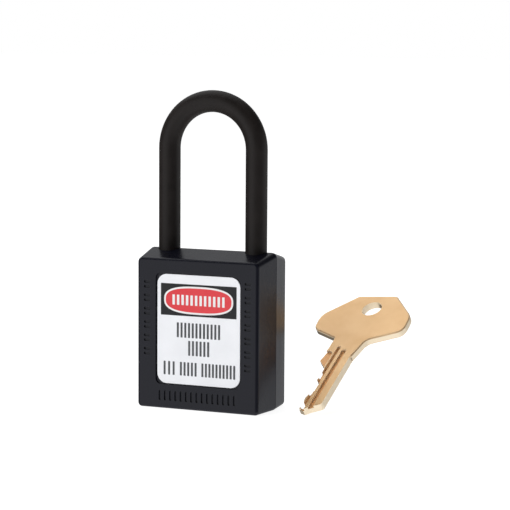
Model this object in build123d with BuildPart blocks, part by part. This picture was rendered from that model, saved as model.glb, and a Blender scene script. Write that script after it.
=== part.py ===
from build123d import *
import math
import os

os.makedirs("parts", exist_ok=True)

# A keyed safety lockout padlock: a thermoplastic body in two half shells, a long non-conductive
# shackle, a six-pin cylinder that is turned from below, and its loose brass key.
# Millimetres. The origin is the middle of the base, in the seam plane. +X is right, the label
# at the front faces -Y, and +Z is up. The lock is shown shut.

# ---- driving dimensions ----
BODY_WIDTH = 38.4  # at the seam, where it is widest
BODY_HEIGHT = 43.5
TOP_DROP = 2.0  # the top comes down by this much between the seam and each face
FRONT_DEPTH = 10.0
FRONT_DRAFT = 1.1  # each side comes in by this much between the seam and the front face
FRONT_EDGE_RADIUS = 1.0
REAR_DEPTH = 9.8
REAR_DRAFT = 1.3
REAR_EDGE_RADIUS = 1.1
TOP_CORNER_RADIUS = 1.5
FOOT_CORNER_RADIUS = 1.2
SEAM_CHAMFER = 0.12
FIT = 0.05  # gap around a piece that is held still in its seat
PLAY = 0.1  # gap around a piece that moves, and how far a cut runs past what it frees

SHACKLE_RADIUS = 3.0
LEG_X = 13.1  # a leg's axis, from the middle; also the bend's radius
BEND_HEIGHT = 71.25
LIFT = 10.5  # how far the shackle rises when it opens
LEG_BORE = 3.1

TRAVEL = 8.0  # how far the latch draws back while the plug turns a quarter turn
CRANK_RADIUS = TRAVEL / math.sqrt(2)  # swings from 45 to 135 degrees
BEVEL = LIFT / TRAVEL  # slope that lets latch and notch part as both move

PIN_COUNT = 6
PIN_PITCH = 3.1
FIRST_PIN = 4.8  # height of the pin nearest the key's shoulder
CUT_ROOTS = [1.5, 1.4, 0.3, 1.15, 1.9, 0.85]  # where each cut leaves its key pin, along +X
CUT_CRESTS = [None, None, 1.7, None, None, 1.6]  # peak between a cut and the one before it

# ---- body: two half shells ----
HALF_WIDTH = BODY_WIDTH / 2
FACE_HEIGHT = BODY_HEIGHT - TOP_DROP

LABEL_WIDTH = 24.8
LABEL_HEIGHT = 30.2
LABEL_X = 0.35  # the label sits nearer the right side of its recess
LABEL_MIDDLE = 22.2
LABEL_RADIUS = 2.8
LABEL_THICKNESS = 0.3
RECESS_X = 0.2
RECESS_MARGIN = 0.35
RECESS_RADIUS = 1.6
RECESS_DEPTH = 0.5

MARK_DEPTH = 0.4
SIDE_MARK = (2.0, 0.75)  # length and width of each bar
SIDE_MARK_X = 15.1
SIDE_MARK_PAIR = 1.35  # height between the two bars of a mark
SIDE_MARK_PITCH = 3.7
LEFT_MARKS = 6
LEFT_MARKS_MIDDLE = 25.0
RIGHT_MARKS = 7
RIGHT_MARKS_MIDDLE = 24.0
FOOT_MARK = (2.9, 0.75)
FOOT_MARKS = 15
FOOT_MARK_PITCH = 1.6
FOOT_MARKS_HEIGHT = 3.7

PEG_RADIUS = 0.8
PEG_LENGTH = 1.5
PEG_ROOT = 1.0  # how far a peg starts inside its own shell
PEG_PLACES = [(-5.0, 42.0), (5.0, 42.0), (-13.0, 2.4), (16.7, 3.0)]


def half_outside(depth, draft, edge_radius):
    """The outside of the half in front of the seam, with its label recess and moulded marks."""
    face_half = HALF_WIDTH - draft
    with BuildPart() as half:
        with BuildSketch(Plane.YZ):
            with BuildLine():
                Polyline(
                    (0, 0), (-depth, 0), (-depth, FACE_HEIGHT), (0, BODY_HEIGHT), close=True
                )
            make_face()
        extrude(amount=HALF_WIDTH, both=True)
        with BuildSketch(Plane.XY):
            with BuildLine():
                Polyline(
                    (-HALF_WIDTH, 0),
                    (-face_half, -depth),
                    (face_half, -depth),
                    (HALF_WIDTH, 0),
                    close=True,
                )
            make_face()
        extrude(amount=BODY_HEIGHT, mode=Mode.INTERSECT)
        corners = edges().filter_by(lambda e: e.bounding_box().size.Y > depth - 0.01)
        fillet(corners.sort_by(Axis.Z)[2:], TOP_CORNER_RADIUS)
        fillet(corners.sort_by(Axis.Z)[:2], FOOT_CORNER_RADIUS)
        fillet(faces().sort_by(Axis.Y)[0].edges(), edge_radius)
        seam_edges = faces().sort_by(Axis.Y)[-1].edges().sort_by(Axis.Z)[1:]
        chamfer(seam_edges, SEAM_CHAMFER)  # the base's edge stays sharp

        # recess for the label
        with BuildSketch(Plane.XZ.offset(depth)):
            with Locations((RECESS_X, LABEL_MIDDLE)):
                RectangleRounded(
                    LABEL_WIDTH + 2 * RECESS_MARGIN,
                    LABEL_HEIGHT + 2 * RECESS_MARGIN,
                    RECESS_RADIUS,
                )
        extrude(amount=-RECESS_DEPTH, mode=Mode.SUBTRACT)

        # plain marks: a column of paired bars up each side, and a row along the foot
        with BuildSketch(Plane.XZ.offset(depth)):
            with Locations((-SIDE_MARK_X, LEFT_MARKS_MIDDLE)):
                with GridLocations(0, SIDE_MARK_PITCH, 1, LEFT_MARKS):
                    with GridLocations(0, SIDE_MARK_PAIR, 1, 2):
                        SlotOverall(*SIDE_MARK)
            with Locations((SIDE_MARK_X, RIGHT_MARKS_MIDDLE)):
                with GridLocations(0, SIDE_MARK_PITCH, 1, RIGHT_MARKS):
                    with GridLocations(0, SIDE_MARK_PAIR, 1, 2):
                        SlotOverall(*SIDE_MARK)
            with Locations((0, FOOT_MARKS_HEIGHT)):
                with GridLocations(FOOT_MARK_PITCH, 0, FOOT_MARKS, 1):
                    SlotOverall(*FOOT_MARK, rotation=90)
        extrude(amount=-MARK_DEPTH, mode=Mode.SUBTRACT)
    return half.part


# ---- cylinder, along +Z in the middle; its pins stand along +X ----
BARREL_RADIUS = 7.0
BARREL_FOOT = 1.0
BARREL_TOP = 29.0
BIBLE_REACH = 14.2
BIBLE_WIDTH = 6.4
BIBLE_FOOT = 2.0
BIBLE_TOP = 25.0
MOUTH_RADIUS = 6.0
PLUG_RADIUS = 5.0
PLUG_BORE = 5.05
PLUG_FOOT = 0.6
PLUG_TOP = 30.6
FLANGE_RADIUS = 5.8
FLANGE_TOP = 1.6
GROOVE_FOOT = 29.1
GROOVE_TOP = 29.9
GROOVE_RADIUS = 3.6
NECK_RADIUS = 4.6
FLANGE_CHAMFER = 0.3
CLIP_RADIUS = 6.2
CLIP_MOUTH = 5.0
CLIP_FILLET = 0.3
CHAMBER_RADIUS = 1.25
PIN_RADIUS = 1.2
SHEAR = 4.82  # top of every key pin, just inside the plug
DRIVER_FOOT = 5.06
DRIVER_TOP = 8.05
KEY_PIN_CHAMFER = 0.6
DRIVER_CHAMFER = 0.15
COVER_FOOT = 13.2
COVER_LENGTH = 20.4
COVER_WIDTH = 3.8
PIN_HEIGHTS = [FIRST_PIN + PIN_PITCH * i for i in range(PIN_COUNT)]
PIN_MIDDLE = (PIN_HEIGHTS[0] + PIN_HEIGHTS[-1]) / 2

KEYWAY_TOP = 27.1
KEYWAY_LOW = -4.3
KEYWAY_HIGH = 4.4
KEYWAY_WIDTH = 2.3
WARDS = [(-1.3, 1.1), (0.9, 0.7), (3.6, 3.0)]  # each ridge's middle along +X, and its width
WARD_DEPTH = 0.5

TAIL_WIDTH = 5.0
TAIL_THICKNESS = 1.6
TAIL_FOOT = 27.6
TAIL_TOP = 35.9
TAIL_PIN_HEIGHT = 28.35
TAIL_PIN_RADIUS = 0.5
TAIL_PIN_FIT = 0.02
TAIL_PIN_INSET = 0.15  # from the plug's side to each end of the pin
TAIL_PIN_CHAMFER = 0.1
TAIL_CHAMFER = 0.2

# ---- crank and latch, above the cylinder ----
ROOM_TOP = 31.0
TAIL_HOLE = 3.4
CAM_RADIUS = 7.2
CAM_FOOT = 34.0
CAM_TOP = 36.6
CRANK_PIN = 1.1
CRANK_X = CRANK_RADIUS * math.cos(math.radians(45))
CRANK_PIN_TOP = 39.6
LATCH_FOOT = 36.8
LATCH_TOP = 39.8
LATCH_BACK = -1.0
LATCH_FRONT = 7.2
LATCH_HALF = 7.6
NOSE_TIP = 11.6
NOSE_HALF = 2.6
TOE_EDGE = LEG_X - SHACKLE_RADIUS
WINDOW_LENGTH = 2.7
WINDOW_FOOT = 2.75
WINDOW_TOP = 6.95
SPRING_Y = -4.5
SPRING_BORE = 1.15
LATCH_SPRING_BACK = -9.2
LATCH_SPRING_FRONT = 5.4
LATCH_AHEAD = 0.4  # room in front of the latch, above it, and beside its nose
LATCH_ABOVE = 0.25
NOSE_ASIDE = 0.15
CAM_CHAMFER = 0.25
CRANK_PIN_CHAMFER = 0.2

# ---- shackle legs ----
TOE_END = 34.5
TOE_BORE_FLOOR = 34.0
HEEL_SHOULDER = 32.5
HEEL_NECK = 2.0
HEEL_HEAD_TOP = 19.1
HEEL_HEAD_FOOT = 16.1
HEEL_HEAD = 2.95
HEEL_BORE_FLOOR = 4.8
RETAINER_FOOT = 30.2
RETAINER_TOP = 31.8
RETAINER_SIZE = (8.4, 10.0)
RETAINER_X = -12.8
RETAINER_FILLET = 0.8
SHOULDER_CHAMFER = 0.4
TOE_CHAMFER = 0.6
NOTCH_REACH = 0.15  # how much deeper the notch is than the nose
NOTCH_GAP = 0.15  # and how much taller, above and below

# ---- springs: coil radius, wire radius and pitch ----
SHACKLE_COIL = (2.3, 0.3, 1.75)
SHACKLE_SPRING_FOOT = 5.0
LATCH_COIL = (0.85, 0.15, 1.3)
PIN_COIL = (0.92, 0.13, 0.8)

# ---- the room that both shells leave for the works ----
with BuildPart() as works_room:
    with BuildSketch(Plane.XY.offset(BARREL_FOOT - FIT)) as barrel_room:
        Circle(BARREL_RADIUS + FIT)
    extrude(amount=ROOM_TOP - BARREL_FOOT + FIT)
    with BuildSketch(Plane.XY.offset(BIBLE_FOOT - FIT)) as bible_room:
        with Locations(((BIBLE_REACH + FIT) / 2, 0)):
            Rectangle(BIBLE_REACH + FIT, BIBLE_WIDTH + 2 * FIT)
    extrude(amount=BIBLE_TOP - BIBLE_FOOT + 2 * FIT)
    with BuildSketch(Plane.XY.offset(-1)) as mouth:
        Circle(MOUTH_RADIUS)
    extrude(amount=1 + BARREL_FOOT)
    with BuildSketch(Plane.XY.offset(ROOM_TOP)) as tail_room:
        Circle(TAIL_HOLE)
    extrude(amount=CAM_FOOT - ROOM_TOP)
    with BuildSketch(Plane.XY.offset(CAM_FOOT - 0.2)) as cam_room:
        Circle(CAM_RADIUS + 0.2)
    extrude(amount=LATCH_FOOT - CAM_FOOT + PLAY)
    with BuildSketch(Plane.XY.offset(LATCH_FOOT - PLAY)) as latch_room:
        with Locations((LATCH_SPRING_BACK - PLAY, 0)):
            Rectangle(
                LATCH_FRONT + LATCH_AHEAD - LATCH_SPRING_BACK + PLAY,
                2 * (LATCH_HALF + 0.2),
                align=(Align.MIN, Align.CENTER),
            )
        with Locations((0, 0)):
            Rectangle(LEG_X, 2 * (NOSE_HALF + NOSE_ASIDE), align=(Align.MIN, Align.CENTER))
    extrude(amount=LATCH_TOP - LATCH_FOOT + LATCH_ABOVE)
    with BuildSketch(Plane.XY.offset(TOE_BORE_FLOOR)) as toe_bore:
        with Locations((LEG_X, 0)):
            Circle(LEG_BORE)
    extrude(amount=BODY_HEIGHT - TOE_BORE_FLOOR + 1)
    with BuildSketch(Plane.XY.offset(HEEL_BORE_FLOOR)) as heel_bore:
        with Locations((-LEG_X, 0)):
            Circle(LEG_BORE)
    extrude(amount=BODY_HEIGHT - HEEL_BORE_FLOOR + 1)
    with BuildSketch(Plane.XY.offset(RETAINER_FOOT - FIT)) as retainer_room:
        with Locations((RETAINER_X, 0)):
            Rectangle(RETAINER_SIZE[0] + 2 * FIT, RETAINER_SIZE[1] + 2 * FIT)
    extrude(amount=RETAINER_TOP - RETAINER_FOOT + 2 * FIT)

# The front shell carries the locating pegs, and the rear shell their sockets. The two are welded.
with BuildPart() as front_shell:
    add(half_outside(FRONT_DEPTH, FRONT_DRAFT, FRONT_EDGE_RADIUS))
    add(works_room.part, mode=Mode.SUBTRACT)
    with BuildSketch(Plane.XZ.offset(PEG_ROOT)) as pegs:
        with Locations(*PEG_PLACES):
            Circle(PEG_RADIUS)
    extrude(amount=-(PEG_LENGTH + PEG_ROOT))
front_shell.part.label = "front_shell"
export_step(front_shell.part, "parts/front_shell.step")

with BuildPart() as rear_shell:
    mirror(half_outside(REAR_DEPTH, REAR_DRAFT, REAR_EDGE_RADIUS), about=Plane.XZ)
    add(works_room.part, mode=Mode.SUBTRACT)
    with BuildSketch(Plane.XZ) as sockets:
        with Locations(*PEG_PLACES):
            Circle(PEG_RADIUS + FIT)
    extrude(amount=-(PEG_LENGTH + PLAY), mode=Mode.SUBTRACT)
rear_shell.part.label = "rear_shell"
export_step(rear_shell.part, "parts/rear_shell.step")

# ---- labels: thin printed plates in the recesses ----
with BuildPart() as front_label:
    with BuildSketch(Plane.XZ.offset(FRONT_DEPTH - RECESS_DEPTH)) as front_label_outline:
        with Locations((LABEL_X, LABEL_MIDDLE)):
            RectangleRounded(LABEL_WIDTH, LABEL_HEIGHT, LABEL_RADIUS)
    extrude(amount=LABEL_THICKNESS)
front_label.part.label = "front_label"
export_step(front_label.part, "parts/front_label.step")

with BuildPart() as rear_label:
    with BuildSketch(Plane.XZ.offset(RECESS_DEPTH - REAR_DEPTH)) as rear_label_outline:
        with Locations((LABEL_X, LABEL_MIDDLE)):
            RectangleRounded(LABEL_WIDTH, LABEL_HEIGHT, LABEL_RADIUS)
    extrude(amount=-LABEL_THICKNESS)
rear_label.part.label = "rear_label"
export_step(rear_label.part, "parts/rear_label.step")

# ---- shackle: the long heel leg is at -X and stays in the body, the toe leg is at +X ----
with BuildPart() as shackle:
    with BuildLine() as bow_line:
        Line((-LEG_X, 0, HEEL_SHOULDER), (-LEG_X, 0, BEND_HEIGHT))
        ThreePointArc(
            (-LEG_X, 0, BEND_HEIGHT), (0, 0, BEND_HEIGHT + LEG_X), (LEG_X, 0, BEND_HEIGHT)
        )
        Line((LEG_X, 0, BEND_HEIGHT), (LEG_X, 0, TOE_END))
    with BuildSketch(Plane.XY.offset(HEEL_SHOULDER)) as leg_section:
        with Locations((-LEG_X, 0)):
            Circle(SHACKLE_RADIUS)
    sweep(path=bow_line.wires()[0])
    chamfer(faces().sort_by(Axis.Z)[0].edges(), SHOULDER_CHAMFER)
    toe_edges = edges().filter_by_position(Axis.Z, TOE_END - PLAY, TOE_END + PLAY)
    chamfer(toe_edges.filter_by(GeomType.CIRCLE), TOE_CHAMFER)
    with BuildSketch(Plane.XY.offset(HEEL_HEAD_TOP)) as neck:
        with Locations((-LEG_X, 0)):
            Circle(HEEL_NECK)
    extrude(amount=HEEL_SHOULDER - HEEL_HEAD_TOP)
    with BuildSketch(Plane.XY.offset(HEEL_HEAD_FOOT)) as head:
        with Locations((-LEG_X, 0)):
            Circle(HEEL_HEAD)
    extrude(amount=HEEL_HEAD_TOP - HEEL_HEAD_FOOT)
    with BuildSketch(Plane.XZ) as notch:
        with BuildLine():
            notch_end = NOSE_TIP + NOTCH_REACH
            notch_foot = LATCH_FOOT - NOTCH_GAP
            Polyline(
                (TOE_EDGE - 1, notch_foot - BEVEL),
                (notch_end, notch_foot + (notch_end - TOE_EDGE) * BEVEL),
                (notch_end, LATCH_TOP + NOTCH_GAP),
                (TOE_EDGE - 1, LATCH_TOP + NOTCH_GAP),
                close=True,
            )
        make_face()
    extrude(amount=SHACKLE_RADIUS + 1, both=True, mode=Mode.SUBTRACT)
shackle.part.label = "shackle"
export_step(shackle.part, "parts/shackle.step")

# Horseshoe plate that lets the heel's neck slide and stops its head.
with BuildPart() as heel_retainer:
    with BuildSketch(Plane.XY.offset(RETAINER_FOOT)) as horseshoe:
        with Locations((RETAINER_X, 0)):
            Rectangle(*RETAINER_SIZE)
        with Locations((-LEG_X, 0)):
            Circle(HEEL_NECK + PLAY, mode=Mode.SUBTRACT)
            Rectangle(
                LEG_X, 2 * (HEEL_NECK + PLAY), align=(Align.MIN, Align.CENTER), mode=Mode.SUBTRACT
            )
    extrude(amount=RETAINER_TOP - RETAINER_FOOT)
    fillet(edges().filter_by(Axis.Z).sort_by(Axis.X)[:2], RETAINER_FILLET)
heel_retainer.part.label = "heel_retainer"
export_step(heel_retainer.part, "parts/heel_retainer.step")


def coil(start, direction, length, coil_radius, wire_radius, pitch):
    """A coil spring as a swept wire, from start along direction, over its whole length."""
    with BuildPart() as spring:
        with BuildLine() as turns:
            Helix(
                pitch=pitch,
                height=length - 2 * wire_radius,
                radius=coil_radius,
                center=Vector(*start) + Vector(*direction) * wire_radius,
                direction=direction,
            )
        with BuildSketch(Plane(origin=turns.line @ 0, z_dir=turns.line % 0)) as wire:
            Circle(wire_radius)
        sweep(path=turns.line, is_frenet=True)
    return spring.part


with BuildPart() as shackle_spring:
    spring_foot = (-LEG_X, 0, SHACKLE_SPRING_FOOT)
    add(coil(spring_foot, (0, 0, 1), HEEL_HEAD_FOOT - SHACKLE_SPRING_FOOT, *SHACKLE_COIL))
shackle_spring.part.label = "shackle_spring"
export_step(shackle_spring.part, "parts/shackle_spring.step")

# ---- cylinder housing: a barrel for the plug, and a bible for the driver pins and springs ----
with BuildPart() as cylinder_housing:
    with BuildSketch(Plane.XY.offset(BARREL_FOOT)) as barrel:
        Circle(BARREL_RADIUS)
    extrude(amount=BARREL_TOP - BARREL_FOOT)
    with BuildSketch(Plane.XY.offset(BIBLE_FOOT)) as bible:
        with Locations((BIBLE_REACH / 2, 0)):
            Rectangle(BIBLE_REACH, BIBLE_WIDTH)
    extrude(amount=BIBLE_TOP - BIBLE_FOOT)
    with BuildSketch(Plane.XY.offset(BARREL_FOOT)) as plug_bore:
        Circle(PLUG_BORE)
    extrude(amount=BARREL_TOP - BARREL_FOOT, mode=Mode.SUBTRACT)
    with BuildSketch(Plane.XY.offset(BARREL_FOOT)) as flange_seat:
        Circle(FLANGE_RADIUS + PLAY)
    extrude(amount=FLANGE_TOP + FIT - BARREL_FOOT, mode=Mode.SUBTRACT)
    with BuildSketch(Plane.YZ.offset(BIBLE_REACH)) as chambers:
        with Locations(*[(0, height) for height in PIN_HEIGHTS]):
            Circle(CHAMBER_RADIUS)
    extrude(amount=-BIBLE_REACH, mode=Mode.SUBTRACT)
    with BuildSketch(Plane.YZ.offset(COVER_FOOT)) as cover_seat:
        with Locations((0, PIN_MIDDLE)):
            SlotOverall(COVER_LENGTH + 2 * FIT, COVER_WIDTH + 2 * FIT, rotation=90)
    extrude(amount=BIBLE_REACH - COVER_FOOT, mode=Mode.SUBTRACT)
cylinder_housing.part.label = "cylinder_housing"
export_step(cylinder_housing.part, "parts/cylinder_housing.step")

with BuildPart() as pin_cover:
    with BuildSketch(Plane.YZ.offset(COVER_FOOT)) as cover_outline:
        with Locations((0, PIN_MIDDLE)):
            SlotOverall(COVER_LENGTH, COVER_WIDTH, rotation=90)
    extrude(amount=BIBLE_REACH - COVER_FOOT)
pin_cover.part.label = "pin_cover"
export_step(pin_cover.part, "parts/pin_cover.step")

# ---- plug, which the key turns ----
with BuildPart() as plug:
    with BuildSketch(Plane.XZ) as plug_profile:
        with BuildLine():
            Polyline(
                (0, PLUG_FOOT),
                (FLANGE_RADIUS, PLUG_FOOT),
                (FLANGE_RADIUS, FLANGE_TOP),
                (PLUG_RADIUS, FLANGE_TOP),
                (PLUG_RADIUS, GROOVE_FOOT),
                (GROOVE_RADIUS, GROOVE_FOOT),
                (GROOVE_RADIUS, GROOVE_TOP),
                (NECK_RADIUS, GROOVE_TOP),
                (NECK_RADIUS, PLUG_TOP),
                (0, PLUG_TOP),
                close=True,
            )
        make_face()
    revolve(axis=Axis.Z)
    chamfer(faces().sort_by(Axis.Z)[0].edges(), FLANGE_CHAMFER)
    with BuildSketch(Plane.XY.offset(PLUG_FOOT)) as keyway:
        with Locations((KEYWAY_LOW, 0)):
            Rectangle(
                KEYWAY_HIGH - KEYWAY_LOW, KEYWAY_WIDTH, align=(Align.MIN, Align.CENTER)
            )
        for place, width in WARDS:
            with Locations((place, -KEYWAY_WIDTH / 2)):
                Rectangle(width, 2 * WARD_DEPTH, mode=Mode.SUBTRACT)
    extrude(amount=KEYWAY_TOP - PLUG_FOOT, mode=Mode.SUBTRACT)
    with BuildSketch(Plane.YZ.offset(PLUG_RADIUS + PLAY)) as plug_chambers:
        with Locations(*[(0, height) for height in PIN_HEIGHTS]):
            Circle(CHAMBER_RADIUS)
    extrude(amount=-(PLUG_RADIUS - PLAY), mode=Mode.SUBTRACT)
    with BuildSketch(Plane.XY.offset(TAIL_FOOT - PLAY)) as tail_slot:
        Rectangle(TAIL_WIDTH + FIT, TAIL_THICKNESS + FIT)
    extrude(amount=PLUG_TOP - TAIL_FOOT + PLAY, mode=Mode.SUBTRACT)
    with BuildSketch(Plane.XZ) as tail_pin_hole:
        with Locations((0, TAIL_PIN_HEIGHT)):
            Circle(TAIL_PIN_RADIUS + TAIL_PIN_FIT)
    extrude(amount=PLUG_RADIUS + 1, both=True, mode=Mode.SUBTRACT)
plug.part.label = "plug"
export_step(plug.part, "parts/plug.step")

# C-shaped clip that keeps the plug down in its housing.
with BuildPart() as plug_clip:
    with BuildSketch(Plane.XY.offset(GROOVE_FOOT + FIT)) as clip_outline:
        Circle(CLIP_RADIUS)
        Circle(GROOVE_RADIUS + FIT, mode=Mode.SUBTRACT)
        with Locations((-GROOVE_RADIUS, 0)):
            Rectangle(2 * GROOVE_RADIUS, CLIP_MOUTH, mode=Mode.SUBTRACT)
    extrude(amount=GROOVE_TOP - GROOVE_FOOT - 2 * FIT)
    fillet(edges().filter_by(Axis.Z), CLIP_FILLET)
plug_clip.part.label = "plug_clip"
export_step(plug_clip.part, "parts/plug_clip.step")

with BuildPart() as tailpiece:
    with BuildSketch(Plane.XY.offset(TAIL_FOOT)) as tail_section:
        Rectangle(TAIL_WIDTH, TAIL_THICKNESS)
    extrude(amount=TAIL_TOP - TAIL_FOOT)
    chamfer(edges().group_by(Axis.Z)[-1], TAIL_CHAMFER)
    with BuildSketch(Plane.XZ) as cross_hole:
        with Locations((0, TAIL_PIN_HEIGHT)):
            Circle(TAIL_PIN_RADIUS + TAIL_PIN_FIT)
    extrude(amount=TAIL_THICKNESS, both=True, mode=Mode.SUBTRACT)
tailpiece.part.label = "tailpiece"
export_step(tailpiece.part, "parts/tailpiece.step")

with BuildPart() as tail_pin:
    with BuildSketch(Plane.XZ) as tail_pin_section:
        with Locations((0, TAIL_PIN_HEIGHT)):
            Circle(TAIL_PIN_RADIUS)
    extrude(amount=PLUG_RADIUS - TAIL_PIN_INSET, both=True)
    chamfer(edges(), TAIL_PIN_CHAMFER)
tail_pin.part.label = "tail_pin"
export_step(tail_pin.part, "parts/tail_pin.step")

# ---- crank cam: a disc on the tailpiece, with an upright pin that draws the latch back ----
with BuildPart() as crank_cam:
    with BuildSketch(Plane.XY.offset(CAM_FOOT)) as cam_disc:
        Circle(CAM_RADIUS)
    extrude(amount=CAM_TOP - CAM_FOOT)
    chamfer(edges(), CAM_CHAMFER)
    with BuildSketch(Plane.XY.offset(CAM_TOP)) as crank_pin:
        with Locations((CRANK_X, CRANK_X)):
            Circle(CRANK_PIN)
    extrude(amount=CRANK_PIN_TOP - CAM_TOP)
    chamfer(faces().sort_by(Axis.Z)[-1].edges(), CRANK_PIN_CHAMFER)
    with BuildSketch(Plane.XY.offset(CAM_FOOT)) as cam_slot:
        Rectangle(TAIL_WIDTH + 2 * FIT, TAIL_THICKNESS + 2 * FIT)
    extrude(amount=TAIL_TOP + PLAY - CAM_FOOT, mode=Mode.SUBTRACT)
crank_cam.part.label = "crank_cam"
export_step(crank_cam.part, "parts/crank_cam.step")

# ---- latch: a plate whose nose holds the toe leg's notch ----
with BuildPart() as latch:
    with BuildSketch(Plane.XY.offset(LATCH_FOOT)) as latch_plan:
        with Locations((LATCH_BACK, 0)):
            Rectangle(LATCH_FRONT - LATCH_BACK, 2 * LATCH_HALF, align=(Align.MIN, Align.CENTER))
        with Locations((LATCH_FRONT - 1, 0)):
            Rectangle(NOSE_TIP - LATCH_FRONT + 1, 2 * NOSE_HALF, align=(Align.MIN, Align.CENTER))
        with Locations((CRANK_X, WINDOW_FOOT)):
            Rectangle(
                WINDOW_LENGTH,
                WINDOW_TOP - WINDOW_FOOT,
                align=(Align.CENTER, Align.MIN),
                mode=Mode.SUBTRACT,
            )
    extrude(amount=LATCH_TOP - LATCH_FOOT)
    with BuildSketch(Plane.XZ) as tip_bevel:
        with BuildLine():
            Polyline(
                (TOE_EDGE, LATCH_FOOT),
                (NOSE_TIP + 1, LATCH_FOOT - 1),
                (NOSE_TIP + 1, LATCH_FOOT + (NOSE_TIP + 1 - TOE_EDGE) * BEVEL),
                close=True,
            )
        make_face()
    extrude(amount=NOSE_HALF + 1, both=True, mode=Mode.SUBTRACT)
    with BuildSketch(Plane.YZ.offset(LATCH_BACK)) as spring_bore:
        with Locations((SPRING_Y, (LATCH_FOOT + LATCH_TOP) / 2)):
            Circle(SPRING_BORE)
    extrude(amount=LATCH_SPRING_FRONT + PLAY - LATCH_BACK, mode=Mode.SUBTRACT)
latch.part.label = "latch"
export_step(latch.part, "parts/latch.step")

with BuildPart() as latch_spring:
    add(
        coil(
            (LATCH_SPRING_BACK, SPRING_Y, (LATCH_FOOT + LATCH_TOP) / 2),
            (1, 0, 0),
            LATCH_SPRING_FRONT - LATCH_SPRING_BACK,
            *LATCH_COIL,
        )
    )
latch_spring.part.label = "latch_spring"
export_step(latch_spring.part, "parts/latch_spring.step")

# ---- pin stacks: key pin, driver pin and spring in each chamber ----
for number, (height, root) in enumerate(zip(PIN_HEIGHTS, CUT_ROOTS), start=1):
    with BuildPart() as key_pin:
        with BuildSketch(Plane.YZ.offset(root)) as key_pin_section:
            with Locations((0, height)):
                Circle(PIN_RADIUS)
        extrude(amount=SHEAR - root)
        chamfer(faces().sort_by(Axis.X)[0].edges(), KEY_PIN_CHAMFER)
    key_pin.part.label = f"key_pin_{number}"
    export_step(key_pin.part, f"parts/key_pin_{number}.step")

    with BuildPart() as driver_pin:
        with BuildSketch(Plane.YZ.offset(DRIVER_FOOT)) as driver_section:
            with Locations((0, height)):
                Circle(PIN_RADIUS)
        extrude(amount=DRIVER_TOP - DRIVER_FOOT)
        chamfer(edges().filter_by(GeomType.CIRCLE), DRIVER_CHAMFER)
    driver_pin.part.label = f"driver_pin_{number}"
    export_step(driver_pin.part, f"parts/driver_pin_{number}.step")

    with BuildPart() as pin_spring:
        add(coil((DRIVER_TOP, 0, height), (1, 0, 0), COVER_FOOT - DRIVER_TOP, *PIN_COIL))
    pin_spring.part.label = f"pin_spring_{number}"
    export_step(pin_spring.part, f"parts/pin_spring_{number}.step")

# ---- key: laid out in its own plane, tip at the foot, bow at the top, cuts to the left ----
KEY_THICKNESS = 2.1
KEY_PLACE = (31.485, -4.957, 1.587)
KEY_TURN = (31.74, -7.77, -4.56)
KEY_EDGE = 0.3  # chamfer round the bow
BLADE_RIGHT = 2.0
TIP_OUTLINE = [(1.8, 3.1), (-1.4, 1.7), (-2.8, 0.75), (-4.3, 1.3)]  # from the plain edge to the cuts
PLAIN_EDGE_END = 3.8
KEY_SHOULDER = 21.9
SHOULDER_OUT = (-7.1, KEY_SHOULDER)
SHOULDER_IN = (-6.2, 26.6)
BLADE_ROOT = 33.0
CUT_FLAT = 0.4
KEY_OFFSET = BLADE_RIGHT + KEYWAY_LOW + PLAY  # from the lock's X to the key's own across axis

BOW_OUTLINE = [
    (5.7, 50.1),
    (-6.5, 50.1),
    (-15.5, 41.5),
    (-15.1, 35.5),
    (-6.6, 31.5),
    (-5.0, 27.0),
    (2.3, 23.4),
    (3.9, 30.6),
    (13.9, 34.6),
    (13.6, 41.3),
]
BOW_RADII = [1.2, 1.4, 5.0, 3.2, 0.4, 0.0, 0.0, 3.0, 3.0, 5.0]
RING_HOLE = 2.95
RING_HOLE_HEIGHT = 44.3

GROOVE_SPARE = (0.4, 0.15)  # how much wider and deeper a groove is than its ridge
GROOVE_ENDS = [26.2, 27.6, 25.6]
key_plane = Plane(Location(KEY_PLACE, KEY_TURN))

# from the tip to the shoulder, each cut is a short flat joined to the next by slopes
cut_edge = []
for height, root, crest in reversed(list(zip(PIN_HEIGHTS, CUT_ROOTS, CUT_CRESTS))):
    along = KEY_SHOULDER + PLUG_FOOT - height
    across = KEY_OFFSET - root
    cut_edge += [(across, along - CUT_FLAT), (across, along + CUT_FLAT)]
    cut_edge += [(KEY_OFFSET - crest, along + PIN_PITCH / 2)] if crest else []

with BuildPart() as key:
    with BuildSketch(key_plane) as bow:
        with BuildLine():
            FilletPolyline(*BOW_OUTLINE, radius=BOW_RADII, close=True)
        make_face()
    extrude(amount=-KEY_THICKNESS)
    chamfer(edges().filter_by(key_plane), KEY_EDGE)
    with BuildSketch(key_plane) as blade:
        with BuildLine():
            Polyline(
                (BLADE_RIGHT, PLAIN_EDGE_END),
                *TIP_OUTLINE,
                *cut_edge,
                SHOULDER_OUT,
                SHOULDER_IN,
                (SHOULDER_IN[0], BLADE_ROOT),
                (BLADE_RIGHT, BLADE_ROOT),
                close=True,
            )
        make_face()
    extrude(amount=-KEY_THICKNESS)
    with BuildSketch(key_plane) as ring_hole:
        with Locations((0, RING_HOLE_HEIGHT)):
            Circle(RING_HOLE)
    extrude(amount=-KEY_THICKNESS, mode=Mode.SUBTRACT)
    with BuildSketch(key_plane) as grooves:
        for (place, width), groove_end in zip(WARDS, GROOVE_ENDS):
            with Locations((KEY_OFFSET - place, 0)):
                SlotOverall(2 * groove_end, width + GROOVE_SPARE[0], rotation=90)
    extrude(amount=-(WARD_DEPTH + GROOVE_SPARE[1]), mode=Mode.SUBTRACT)
key.part.label = "key"
export_step(key.part, "parts/key.step")
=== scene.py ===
import math

import bmesh
import bpy
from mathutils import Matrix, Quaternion, Vector


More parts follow.
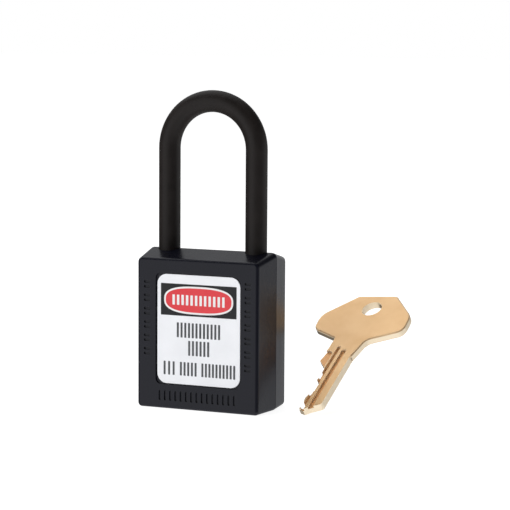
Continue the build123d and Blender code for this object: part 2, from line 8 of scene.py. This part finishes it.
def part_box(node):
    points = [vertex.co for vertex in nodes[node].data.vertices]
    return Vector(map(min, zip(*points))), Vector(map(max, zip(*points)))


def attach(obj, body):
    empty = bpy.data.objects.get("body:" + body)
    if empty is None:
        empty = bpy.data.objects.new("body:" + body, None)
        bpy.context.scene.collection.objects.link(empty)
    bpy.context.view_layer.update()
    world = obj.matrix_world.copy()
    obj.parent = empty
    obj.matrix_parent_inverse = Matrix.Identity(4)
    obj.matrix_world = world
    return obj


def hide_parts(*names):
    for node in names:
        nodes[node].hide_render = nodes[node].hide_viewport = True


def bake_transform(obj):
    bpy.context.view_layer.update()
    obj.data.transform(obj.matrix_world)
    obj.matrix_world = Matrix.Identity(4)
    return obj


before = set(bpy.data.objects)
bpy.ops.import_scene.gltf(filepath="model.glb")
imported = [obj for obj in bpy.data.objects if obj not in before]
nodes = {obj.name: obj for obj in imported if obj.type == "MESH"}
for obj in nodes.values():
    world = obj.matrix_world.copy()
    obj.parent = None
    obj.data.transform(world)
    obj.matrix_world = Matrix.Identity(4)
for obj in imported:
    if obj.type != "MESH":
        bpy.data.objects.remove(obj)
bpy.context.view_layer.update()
MM = 0.001

# ---------------------------------------------------------------- camera, floor and light

AZIMUTH = math.radians(23.5)  # the camera stands to the right of the lock's front
ELEVATION = math.radians(6.2)
ROLL = math.radians(0.36)
DISTANCE = 586.7 * MM
SIDE_SHIFT = 11.7 * MM  # how far the view's middle is to the right of the base's middle
RISE = 41.83 * MM  # and how far above it
LENS = 149.1
SENSOR_WIDTH = 36
CLIP_NEAR, CLIP_FAR = 0.01, 20

FLOOR_SIZE = 12
FLOOR_DROP = 0.02 * MM  # below the base, so that the two faces don't lie in one plane
FLOOR_TONE = 0.3
FLOOR_ROUGH = 0.9
FLOOR_GLOW = 0.92

# lamps: name, place, the point that each one faces, side and power
LAMPS = (
    ("key_softbox", (-0.62, -0.75, 0.7), (0, 0, 0.03), 0.6, 5.4),
    ("overhead_softbox", (-0.25, 0.2, 0.9), (0, 0, 0), 0.7, 5.0),
)

# the studio's soft panels: direction, cosines at their outer and inner edges, and brightness
PANELS = (
    ((0.05, 0.93, -0.35), 0.55, 0.97, 0.42),  # the sweep behind
    ((-0.45, 0.8, 0.45), 0.6, 0.95, 0.26),  # behind and above
    ((-0.4, 0.25, 0.88), 0.74, 0.93, 0.8),  # overhead
    ((-0.5, -0.85, 0.0), 0.72, 0.97, 1.0),  # front left
    ((0.88, 0.44, -0.19), 0.84, 0.97, 0.9),  # right
    ((0.2, -0.3, -0.93), 0.5, 0.8, 0.9),  # the table below
)
ROOM = 0.03
ROOM_TINT = (0.97, 0.98, 1.0, 1)
BACKDROP = 1.0
WHITE = (1, 1, 1, 1)


def make_camera():
    """A long lens at the reference viewpoint."""
    right = Vector((math.cos(AZIMUTH), math.sin(AZIMUTH), 0))
    back = Vector(
        (
            math.sin(AZIMUTH) * math.cos(ELEVATION),
            -math.cos(AZIMUTH) * math.cos(ELEVATION),
            math.sin(ELEVATION),
        )
    )
    up = back.cross(right)
    camera = bpy.data.objects.new("camera", bpy.data.cameras.new("camera"))
    camera.data.lens = LENS
    camera.data.sensor_width = SENSOR_WIDTH
    camera.data.clip_start = CLIP_NEAR
    camera.data.clip_end = CLIP_FAR
    camera.location = right * SIDE_SHIFT + up * RISE + back * DISTANCE
    camera.rotation_mode = "QUATERNION"
    camera.rotation_quaternion = back.to_track_quat("Z", "Y") @ Quaternion((0, 0, 1), ROLL)
    bpy.context.scene.collection.objects.link(camera)
    bpy.context.scene.camera = camera


def add_lamp(name, place, aim, side, power):
    """A soft square lamp at place, facing aim, that neither the camera nor a reflection sees."""
    lamp = bpy.data.lights.new(name, "AREA")
    lamp.shape = "SQUARE"
    lamp.size = side
    lamp.energy = power
    holder = bpy.data.objects.new(name, lamp)
    holder.location = place
    holder.rotation_mode = "QUATERNION"
    holder.rotation_quaternion = (Vector(place) - Vector(aim)).to_track_quat("Z", "Y")
    holder.visible_camera = False
    holder.visible_glossy = False
    bpy.context.scene.collection.objects.link(holder)


def make_world():
    """White to the camera, and a dim room with soft panels to everything else."""
    world = bpy.data.worlds.new("studio")
    bpy.context.scene.world = world
    world.use_nodes = True
    tree = world.node_tree
    tree.nodes.clear()
    direction = tree.nodes.new("ShaderNodeTexCoord").outputs["Generated"]
    total = None
    for aim, outer, inner, strength in PANELS:
        dot = tree.nodes.new("ShaderNodeVectorMath")
        dot.operation = "DOT_PRODUCT"
        dot.inputs[1].default_value = Vector(aim).normalized()
        tree.links.new(direction, dot.inputs[0])
        panel = tree.nodes.new("ShaderNodeMapRange")
        panel.interpolation_type = "SMOOTHSTEP"
        panel.inputs["From Min"].default_value = outer
        panel.inputs["From Max"].default_value = inner
        panel.inputs["To Max"].default_value = strength
        tree.links.new(dot.outputs["Value"], panel.inputs["Value"])
        add = tree.nodes.new("ShaderNodeMath")
        add.inputs[0].default_value = ROOM
        if total is not None:
            tree.links.new(total, add.inputs[0])
        tree.links.new(panel.outputs[0], add.inputs[1])
        total = add.outputs[0]
    room = tree.nodes.new("ShaderNodeBackground")
    room.inputs["Color"].default_value = ROOM_TINT
    tree.links.new(total, room.inputs["Strength"])
    seen = tree.nodes.new("ShaderNodeBackground")
    seen.inputs["Color"].default_value = WHITE
    seen.inputs["Strength"].default_value = BACKDROP
    mix = tree.nodes.new("ShaderNodeMixShader")
    tree.links.new(tree.nodes.new("ShaderNodeLightPath").outputs["Is Camera Ray"], mix.inputs[0])
    tree.links.new(room.outputs[0], mix.inputs[1])
    tree.links.new(seen.outputs[0], mix.inputs[2])
    out = tree.nodes.new("ShaderNodeOutputWorld")
    tree.links.new(mix.outputs[0], out.inputs["Surface"])


def make_studio():
    """A pale glowing floor, a dim room with soft panels, and two lamps."""
    bpy.context.scene.view_settings.view_transform = "Standard"
    make_world()
    bpy.ops.mesh.primitive_plane_add(size=FLOOR_SIZE, location=(0, 0, -FLOOR_DROP))
    floor = bpy.context.object
    floor.name = "floor"
    paper = bpy.data.materials.new("floor_paper")
    paper.use_nodes = True
    shader = paper.node_tree.nodes["Principled BSDF"]
    shader.inputs["Base Color"].default_value = (FLOOR_TONE, FLOOR_TONE, FLOOR_TONE, 1)
    shader.inputs["Roughness"].default_value = FLOOR_ROUGH
    shader.inputs["Specular IOR Level"].default_value = 0.0
    shader.inputs["Emission Color"].default_value = WHITE
    shader.inputs["Emission Strength"].default_value = FLOOR_GLOW
    floor.data.materials.append(paper)
    floor.visible_glossy = False
    floor.visible_shadow = False

    for lamp in LAMPS:
        add_lamp(*lamp)


# ---------------------------------------------------------------- materials

# noises are in cells a metre, one number or one for each axis
NOISE_MIDDLE = (0.3, 0.7)  # where most of a noise's values lie
CLOUD_RANGE = (0.35, 0.7)
NOISE_ROUGH = 0.55  # how much the finer layers of a noise count
EDGE_COSINES = (0.995, 0.80)  # between a flat and a sharp edge, for Look.edges
RUBBED_EDGE = 0.25 * MM
FINE_EDGE = 0.15 * MM

# body plastic: two tones of the flow marks, and the rubbed edges
PLASTIC = ((0.0042, 0.0044, 0.0085), (0.006, 0.0064, 0.0115))
PLASTIC_RUBBED = (0.16, 0.16, 0.17)
PLASTIC_RUB = 0.15
PLASTIC_RUB_CELLS = 900
PLASTIC_FLOW = (90, 90, 35)
PLASTIC_GRAIN = 6500
PLASTIC_ROUGH = (0.22, 0.33)
PLASTIC_SPECULAR = 0.3

# shackle nylon: two tones of the mottle, and the fibre streaks
NYLON = ((0.0095, 0.0075, 0.0068), (0.0145, 0.0115, 0.0105))
NYLON_STREAK = (0.022, 0.019, 0.018)
NYLON_FIBRES = (2600, 2600, 160)
NYLON_MOTTLE = 260
NYLON_GRAIN = 5000
NYLON_ROUGH = (0.42, 0.54)
NYLON_SPECULAR = 0.25

# the label's film and inks: two tones, and the shader's specular level
FILMS = {
    "label_film": ((0.88, 0.89, 0.92), (0.83, 0.84, 0.87), 0.5),
    "ink_band": ((0.011, 0.0115, 0.013), (0.016, 0.0165, 0.018), 0.3),
    "ink_bars": ((0.05, 0.052, 0.058), (0.09, 0.092, 0.1), 0.5),
    "ink_red": ((0.7, 0.028, 0.04), (0.74, 0.05, 0.06), 0.5),
    "ink_white": ((0.88, 0.87, 0.87), (0.83, 0.81, 0.81), 0.5),
}
FILM_CLOUD = 120
FILM_SPECKS = 4200
FILM_RIPPLES = 1400
FILM_ROUGH = (0.28, 0.4)

# the works: two tones, roughness, the tool lines' noise, and the rubbed edges
METALS = {
    "turned_brass": (
        (0.72, 0.5, 0.24), (0.6, 0.4, 0.18), 0.3, (400, 400, 6000), (0.85, 0.66, 0.38),
    ),
    "cast_zinc": ((0.5, 0.5, 0.49), (0.38, 0.38, 0.38), 0.42, 2600, (0.7, 0.7, 0.69)),
    "stamped_steel": (
        (0.55, 0.56, 0.58), (0.45, 0.45, 0.47), 0.3, (300, 5200, 5200), (0.8, 0.8, 0.82),
    ),
    "spring_wire": ((0.62, 0.62, 0.64), (0.5, 0.5, 0.52), 0.22, 4200, (0.8, 0.8, 0.82)),
}
METAL_TARNISH = 300

# key brass: two tones of the haze, then painted shade in the grooves, the rubbed edges, painted
# shade on the cuts and a painted highlight on the plain edge
BRASS = ((0.87, 0.57, 0.29), (0.81, 0.51, 0.245))
# painted shade in the grooves: a darker, more orange tone for the groove floors
BRASS_GROOVE_SHADE = (0.80, 0.43, 0.18)
BRASS_RUBBED = (0.92, 0.74, 0.48)
# painted shade on the walls of the cuts that face away from the plain edge: a dark tone for where
# they reflect the dim room
BRASS_CUT_SHADE = (0.11, 0.075, 0.04)
# painted highlight on the plain edge and the shallow walls: a pale tone for the light that they
# catch
BRASS_PLAIN_EDGE_HIGHLIGHT = (0.98, 0.83, 0.61)
BRASS_HAZE = 140
BRASS_SCRATCHES = (900, 5200, 3000)
BRASS_DENTS = 600
BRASS_ROUGH = (0.36, 0.48)
BRASS_METALLIC = 0.42
KEY_FACE = (-0.135, -0.521, 0.843)  # the way that the key's broad side faces
KEY_ACROSS = (0.988, -0.139, 0.073)  # from its cuts to its plain edge
# depths below the face between which the groove floors take the painted groove shade
GROOVE_SHALLOW = 0.2 * MM
GROOVE_DEEP = 1.0 * MM
# walls deeper than this below the face, on the cut side, take the painted shade of the cuts
CUT_SHADE_DEPTH = 0.66 * MM  # how far below the face the cuts turn dark


class Look:
    """A node material with short helpers for its tree."""

    def __init__(self, name):
        self.material = bpy.data.materials.new(name)
        self.material.use_nodes = True
        self.tree = self.material.node_tree
        self.shader = self.tree.nodes["Principled BSDF"]
        self.place = self.tree.nodes.new("ShaderNodeTexCoord").outputs["Object"]

    def node(self, kind, **values):
        """A new node; values set its properties, or its inputs by name."""
        made = self.tree.nodes.new(kind)
        for key, value in values.items():
            if hasattr(made, key):
                setattr(made, key, value)
            else:
                made.inputs[key.replace("_", " ")].default_value = value
        return made

    def link(self, output, socket):
        """Joins one node's output to another's input."""
        self.tree.links.new(output, socket)

    def stretched(self, scale):
        """Object coordinates in metres, times scale along each axis."""
        mapping = self.node("ShaderNodeMapping")
        mapping.inputs["Scale"].default_value = scale
        self.link(self.place, mapping.inputs["Vector"])
        return mapping.outputs[0]

    def noise(self, scale, detail):
        """Fractal noise from 0 to 1; scale is one number or one for each axis, in cells a metre."""
        if not hasattr(scale, "__len__"):
            scale = (scale, scale, scale)
        made = self.node("ShaderNodeTexNoise", Scale=1.0, Detail=detail, Roughness=NOISE_ROUGH)
        self.link(self.stretched(scale), made.inputs["Vector"])
        return made.outputs["Fac"]

    def remap(self, value, low, high, to_low=0.0, to_high=1.0):
        """value, moved in a straight line from one range into another."""
        made = self.node("ShaderNodeMapRange")
        for name, number in zip(
            ("From Min", "From Max", "To Min", "To Max"), (low, high, to_low, to_high)
        ):
            made.inputs[name].default_value = number
        self.link(value, made.inputs["Value"])
        return made.outputs[0]

    def mix(self, factor, first, second):
        """A colour between two, which may be colours or sockets."""
        made = self.node("ShaderNodeMix", data_type="RGBA")
        self.link(factor, made.inputs["Factor"])
        for socket, colour in ((made.inputs[6], first), (made.inputs[7], second)):
            if isinstance(colour, tuple):
                socket.default_value = (*colour, 1)
            else:
                self.link(colour, socket)
        return made.outputs[2]

    def math(self, operation, first, second=0.0):
        """A sum on numbers or sockets; an operation that takes one number leaves out second."""
        made = self.node("ShaderNodeMath", operation=operation)
        for socket, value in ((made.inputs[0], first), (made.inputs[1], second)):
            if isinstance(value, (int, float)):
                socket.default_value = value
            else:
                self.link(value, socket)
        return made.outputs[0]

    def bump(self, height, strength, depth, onto=None):
        """Adds relief of depth metres from a height socket, on top of another bump."""
        made = self.node("ShaderNodeBump", Strength=strength, Distance=depth)
        self.link(height, made.inputs["Height"])
        if onto is not None:
            self.link(onto, made.inputs["Normal"])
        return made.outputs[0]

    def edges(self, radius):
        """1 along sharp edges and 0 on flats, found by rounding the edges by radius."""
        rounded = self.node("ShaderNodeBevel", samples=4, Radius=radius)
        geometry = self.node("ShaderNodeNewGeometry")
        dot = self.node("ShaderNodeVectorMath", operation="DOT_PRODUCT")
        self.link(rounded.outputs[0], dot.inputs[0])
        self.link(geometry.outputs["Normal"], dot.inputs[1])
        return self.remap(dot.outputs["Value"], *EDGE_COSINES)

    def along(self, vector, direction):
        """How far a vector socket goes along a direction."""
        dot = self.node("ShaderNodeVectorMath", operation="DOT_PRODUCT")
        self.link(vector, dot.inputs[0])
        dot.inputs[1].default_value = direction
        return dot.outputs["Value"]

    def finish(self, colour, roughness, normal):
        """Links the three sockets to the shader, and gives the material."""
        for value, name in ((colour, "Base Color"), (roughness, "Roughness"), (normal, "Normal")):
            self.link(value, self.shader.inputs[name])
        return self.material


def body_plastic():
    """Spark-eroded moulded plastic: fine grain, faint flow marks, rubbed edges."""
    look = Look("body_plastic")
    flow = look.noise(PLASTIC_FLOW, 5)
    grain = look.noise(PLASTIC_GRAIN, 3)
    edge = look.math("MULTIPLY", look.edges(RUBBED_EDGE), look.noise(PLASTIC_RUB_CELLS, 3))
    colour = look.mix(look.remap(flow, *NOISE_MIDDLE), *PLASTIC)
    colour = look.mix(look.math("MULTIPLY", edge, PLASTIC_RUB), colour, PLASTIC_RUBBED)
    rough = look.remap(flow, *NOISE_MIDDLE, *PLASTIC_ROUGH)
    rough = look.math("ADD", rough, look.remap(grain, 0.2, 0.8, -0.03, 0.03))
    normal = look.bump(grain, 0.35, 0.02 * MM)
    normal = look.bump(flow, 0.25, 0.05 * MM, normal)
    look.shader.inputs["Specular IOR Level"].default_value = PLASTIC_SPECULAR
    return look.finish(colour, rough, normal)


def shackle_nylon():
    """Glass-filled nylon: matte, warm black, with fibre streaks along the legs."""
    look = Look("shackle_nylon")
    streak = look.noise(NYLON_FIBRES, 4)
    mottle = look.noise(NYLON_MOTTLE, 5)
    colour = look.mix(look.remap(mottle, *NOISE_MIDDLE), *NYLON)
    colour = look.mix(look.remap(streak, 0.62, 0.8, 0.0, 0.5), colour, NYLON_STREAK)
    rough = look.remap(mottle, *NOISE_MIDDLE, *NYLON_ROUGH)
    normal = look.bump(streak, 0.3, 0.02 * MM)
    normal = look.bump(look.noise(NYLON_GRAIN, 2), 0.3, 0.015 * MM, normal)
    look.shader.inputs["Specular IOR Level"].default_value = NYLON_SPECULAR
    return look.finish(colour, rough, normal)


def printed_film(name, colour, worn, shine):
    """Ink or bare film on a label: a slightly uneven tone and a soft, faintly rippled gloss."""
    look = Look(name)
    cloud = look.noise(FILM_CLOUD, 4)
    speck = look.noise(FILM_SPECKS, 2)
    tone = look.mix(look.remap(cloud, *CLOUD_RANGE), colour, worn)
    tone = look.mix(look.remap(speck, 0.68, 0.78, 0.0, 0.25), tone, worn)
    rough = look.remap(cloud, *NOISE_MIDDLE, *FILM_ROUGH)
    normal = look.bump(look.noise(FILM_RIPPLES, 3), 0.15, 0.015 * MM)
    look.shader.inputs["Specular IOR Level"].default_value = shine
    return look.finish(tone, rough, normal)


def metal(name, colour, dull, gloss, brush, wear_colour):
    """Cut or drawn metal: tool lines along brush, cloudy tarnish and bright edges."""
    look = Look(name)
    lines = look.noise(brush, 5)
    cloud = look.noise(METAL_TARNISH, 4)
    tone = look.mix(look.remap(cloud, *CLOUD_RANGE), colour, dull)
    tone = look.mix(look.edges(FINE_EDGE), tone, wear_colour)
    rough = look.remap(lines, 0.25, 0.75, gloss - 0.08, gloss + 0.1)
    look.shader.inputs["Metallic"].default_value = 1.0
    normal = look.bump(lines, 0.25, 0.012 * MM)
    return look.finish(tone, rough, normal)


def key_brass():
    """Pale milled brass, tumbled soft, paler on rubbed edges: painted shade in grooves and on cuts,
    and a painted highlight on plain edges.
    """
    look = Look("key_brass")
    haze = look.noise(BRASS_HAZE, 5)
    scratches = look.noise(BRASS_SCRATCHES, 4)
    normal_way = look.node("ShaderNodeNewGeometry").outputs["Normal"]
    facing = look.along(normal_way, KEY_FACE)
    tone = look.mix(look.remap(haze, *NOISE_MIDDLE), *BRASS)
    face_height = max(v.co.dot(Vector(KEY_FACE)) for v in nodes["key"].data.vertices)
    below = look.math("SUBTRACT", face_height, look.along(look.place, KEY_FACE))
    # painted shade on the groove floors: flats that lie between GROOVE_SHALLOW and GROOVE_DEEP
    # below the face
    groove_shade = look.math("GREATER_THAN", below, GROOVE_SHALLOW)
    groove_shade = look.math("MULTIPLY", groove_shade, look.math("LESS_THAN", below, GROOVE_DEEP))
    groove_shade = look.math("MULTIPLY", groove_shade, look.remap(facing, 0.6, 0.9))
    tone = look.mix(groove_shade, tone, BRASS_GROOVE_SHADE)
    tone = look.mix(look.edges(RUBBED_EDGE), tone, BRASS_RUBBED)
    # the key's side walls are painted by which way they face: painted shade on the deep cuts, a
    # painted highlight on the plain edge and the shallow walls
    turned = look.remap(look.math("ABSOLUTE", facing), 0.75, 0.4)
    plain = look.remap(look.along(normal_way, KEY_ACROSS), -0.5, -0.15)
    plain = look.math("MAXIMUM", plain, look.math("LESS_THAN", below, CUT_SHADE_DEPTH))
    tone = look.mix(turned, tone, look.mix(plain, BRASS_CUT_SHADE, BRASS_PLAIN_EDGE_HIGHLIGHT))
    rough = look.remap(haze, *NOISE_MIDDLE, *BRASS_ROUGH)
    look.shader.inputs["Metallic"].default_value = BRASS_METALLIC
    normal = look.bump(scratches, 0.2, 0.012 * MM)
    normal = look.bump(look.noise(BRASS_DENTS, 3), 0.2, 0.03 * MM, normal)
    return look.finish(tone, rough, normal)


def dress(names, material):
    """Gives CAD nodes their material."""
    for name in names:
        mesh = nodes[name].data
        mesh.materials.clear()
        mesh.materials.append(material)


# ---------------------------------------------------------------- springs


def following_spring(node, material):
    """A copy of a coil spring with its own material, in the CAD node's place; the node itself is
    hidden.
    """
    spring = bpy.data.objects.new(f"v_{node}", nodes[node].data.copy())
    bpy.context.scene.collection.objects.link(spring)
    spring.data.materials.clear()
    spring.data.materials.append(material)
    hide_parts(node)
    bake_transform(spring)


# ---------------------------------------------------------------- label print


def evenly(first, last, count):
    """count places from first to last, all the same distance apart."""
    return [first + (last - first) * step / (count - 1) for step in range(count)]


INK = 0.02 * MM  # each layer of print
# the rest is in millimetres, with pairs across and up
BAND_SIZE = (22.7, 8.75)
BAND_CORNER = 0.15
BAND_MIDDLE = 6.9  # below the label's top edge
OVAL_SIZE = (20.7, 7.65)
OVAL_LINE = 0.5
OVAL_SQUARENESS = 2.7  # 2 would be an ellipse
STROKE_CORNER = 0.12
OVAL_STROKES = evenly(-7.45, 7.45, 12)
OVAL_STROKE_SIZE = (0.72, 2.8)
# middle below the label's top, size of a stroke, and the strokes' places across
STROKE_ROWS = (
    (15.2, (0.62, 4.1), evenly(-6.2, 6.2, 12)),
    (20.1, (0.62, 4.1), evenly(-2.75, 2.95, 6)),
    (
        25.9,
        (0.6, 3.75),
        evenly(-10.2, -7.45, 3) + evenly(-5.25, -0.8, 5) + evenly(1.25, 10.75, 10),
    ),
)


def rounded_outline(width, height, radius, steps=8):
    """A rounded rectangle's outline about the origin, anticlockwise."""
    points = []
    for turn, (sx, sz) in enumerate(((1, 1), (-1, 1), (-1, -1), (1, -1))):
        middle = Vector((sx * (width / 2 - radius), sz * (height / 2 - radius)))
        for step in range(steps + 1):
            angle = math.radians(90 * (turn + step / steps))
            points.append(middle + radius * Vector((math.cos(angle), math.sin(angle))))
    return points


def oval_outline(width, height, steps=96):
    """A superellipse: an oval with a flattened top and foot."""
    points = []
    for step in range(steps):
        angle = 2 * math.pi * step / steps
        c, s = math.cos(angle), math.sin(angle)
        x = math.copysign(abs(c) ** (2 / OVAL_SQUARENESS), c) * width / 2
        z = math.copysign(abs(s) ** (2 / OVAL_SQUARENESS), s) * height / 2
        points.append(Vector((x, z)))
    return points


def print_patch(name, outlines, low, high, side, material):
    """Closed flat patches of ink on a label, between two heights above its face.

    outlines are lists of points (across, up) in metres; side is -1 on the front and 1 on the rear.
    """
    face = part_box("front_label")[0].y if side < 0 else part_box("rear_label")[1].y
    mesh = bpy.data.meshes.new(name)
    build = bmesh.new()
    for outline in outlines:
        ring = [build.verts.new((-side * p.x, face + side * low, p.y)) for p in outline]
        base = build.faces.new(ring)
        grown = bmesh.ops.extrude_face_region(build, geom=[base])
        for item in grown["geom"]:
            if isinstance(item, bmesh.types.BMVert):
                item.co.y = face + side * high
    bmesh.ops.recalc_face_normals(build, faces=build.faces)
    build.to_mesh(mesh)
    build.free()
    piece = bpy.data.objects.new(name, mesh)
    mesh.materials.append(material)
    bpy.context.scene.collection.objects.link(piece)
    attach(piece, "lock_body")


def shifted(outline, across, up):
    """An outline moved across and up."""
    return [p + Vector((across, up)) for p in outline]


def stroke_row(places, size, middle, height):
    """Upright strokes of one size, with each one's middle at a place across in millimetres."""
    outline = rounded_outline(size[0] * MM, size[1] * MM, STROKE_CORNER * MM)
    return [shifted(outline, middle + place * MM, height) for place in places]


def print_label(side, films):
    """A dark band with a red oval, and plain bars where a label carries its wording."""
    where = "front" if side < 0 else "rear"
    low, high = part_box(f"{where}_label")
    top = high.z
    middle = -side * (low.x + high.x) / 2
    band_middle = top - BAND_MIDDLE * MM
    band = rounded_outline(BAND_SIZE[0] * MM, BAND_SIZE[1] * MM, BAND_CORNER * MM)
    band = shifted(band, middle, band_middle)
    rim = oval_outline(OVAL_SIZE[0] * MM, OVAL_SIZE[1] * MM)
    rim = shifted(rim, middle, band_middle)
    red = oval_outline(*((size - 2 * OVAL_LINE) * MM for size in OVAL_SIZE))
    red = shifted(red, middle, band_middle)
    print_patch(f"{where}_band", [band], 0, INK, side, films["ink_band"])
    print_patch(f"{where}_oval_rim", [rim], INK, 2 * INK, side, films["ink_white"])
    print_patch(f"{where}_oval", [red], 2 * INK, 3 * INK, side, films["ink_red"])
    strokes = stroke_row(OVAL_STROKES, OVAL_STROKE_SIZE, middle, band_middle)
    print_patch(f"{where}_oval_strokes", strokes, 3 * INK, 4 * INK, side, films["ink_white"])
    rows = []
    for drop, size, places in STROKE_ROWS:
        rows += stroke_row(places, size, middle, top - drop * MM)
    print_patch(f"{where}_strokes", rows, 0, INK, side, films["ink_bars"])


# ---------------------------------------------------------------- put together

make_camera()
make_studio()

PINS = range(1, 7)
films = {name: printed_film(name, *values) for name, values in FILMS.items()}
metals = {name: metal(name, *values) for name, values in METALS.items()}

dress(["front_shell", "rear_shell"], body_plastic())
dress(["shackle"], shackle_nylon())
dress(["front_label", "rear_label"], films["label_film"])
dress(["key"], key_brass())
dress(["cylinder_housing", "crank_cam", "latch"], metals["cast_zinc"])
dress(["plug", "pin_cover"], metals["turned_brass"])
dress([f"key_pin_{n}" for n in PINS], metals["turned_brass"])
dress([f"driver_pin_{n}" for n in PINS], metals["turned_brass"])
dress(["heel_retainer", "plug_clip", "tailpiece", "tail_pin"], metals["stamped_steel"])
dress([f"pin_spring_{n}" for n in PINS], metals["spring_wire"])

# the latch and shackle springs, as copies with their own material
following_spring("latch_spring", metals["spring_wire"])
following_spring("shackle_spring", metals["spring_wire"])

for face_side in (-1, 1):
    print_label(face_side, films)
